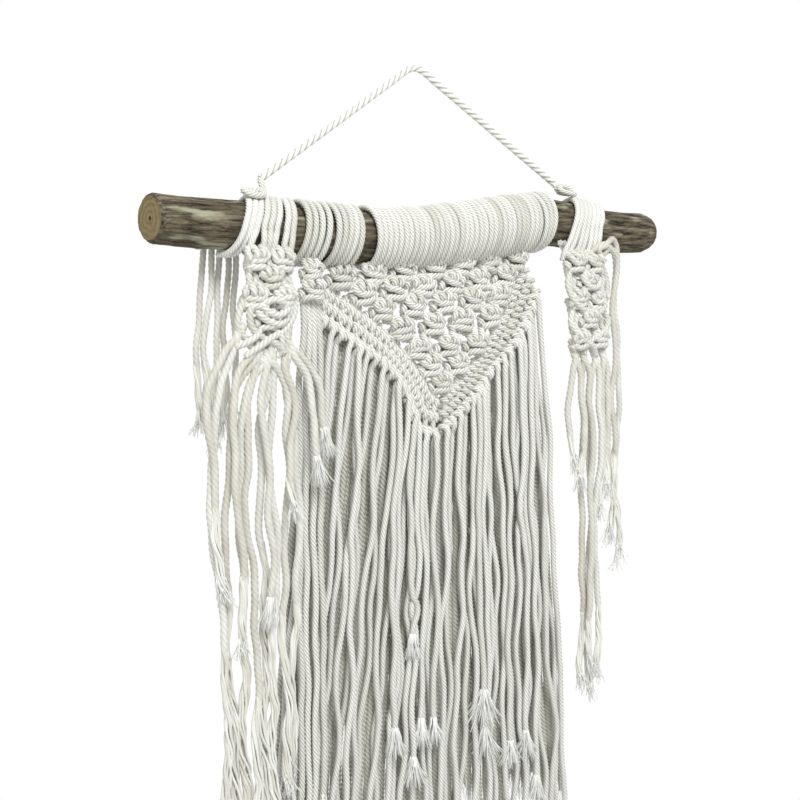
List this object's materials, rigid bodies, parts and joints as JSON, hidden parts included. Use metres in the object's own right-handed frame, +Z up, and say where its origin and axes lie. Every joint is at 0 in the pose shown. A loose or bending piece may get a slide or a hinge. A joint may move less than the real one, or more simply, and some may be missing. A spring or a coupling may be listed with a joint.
{
  "type": "macrame wall hanging on branch",
  "caption": "Knotted cotton cord wall hanging on a crooked branch: a pointed panel of square knots with long fringe, two tassels and a cord to hang it by.",
  "frame": {"origin": "where the hanger cord bears on the nail", "axes": "+X along the branch to the viewer's right, +Y into the wall, +Z up"},
  "size_m": [0.3818, 0.0446, 0.5338],
  "materials": {
    "branch_bark": "dried branch with its bark on, sawn at one end",
    "cotton_cord": "twisted undyed cotton cord, matt and slightly hairy"
  },
  "bodies": {
    "root": {"branch": "branch_bark", "wraps_left_a": "cotton_cord", "wraps_left_b": "cotton_cord", "wraps_left_c": "cotton_cord", "wraps_sennit": "cotton_cord", "wraps_net_a": "cotton_cord", "wraps_net_b": "cotton_cord", "wraps_net_c": "cotton_cord", "wraps_right": "cotton_cord", "net_panel": "cotton_cord", "fringe_left": "cotton_cord", "fringe_right": "cotton_cord", "tassel_left": "cotton_cord", "tassel_right": "cotton_cord", "side_sennit": "cotton_cord", "back_strands": "cotton_cord", "tail_strands": "cotton_cord", "hitch_left": "cotton_cord", "hitch_right": "cotton_cord", "hanger_cord": "cotton_cord"}
  },
  "joints": []
}
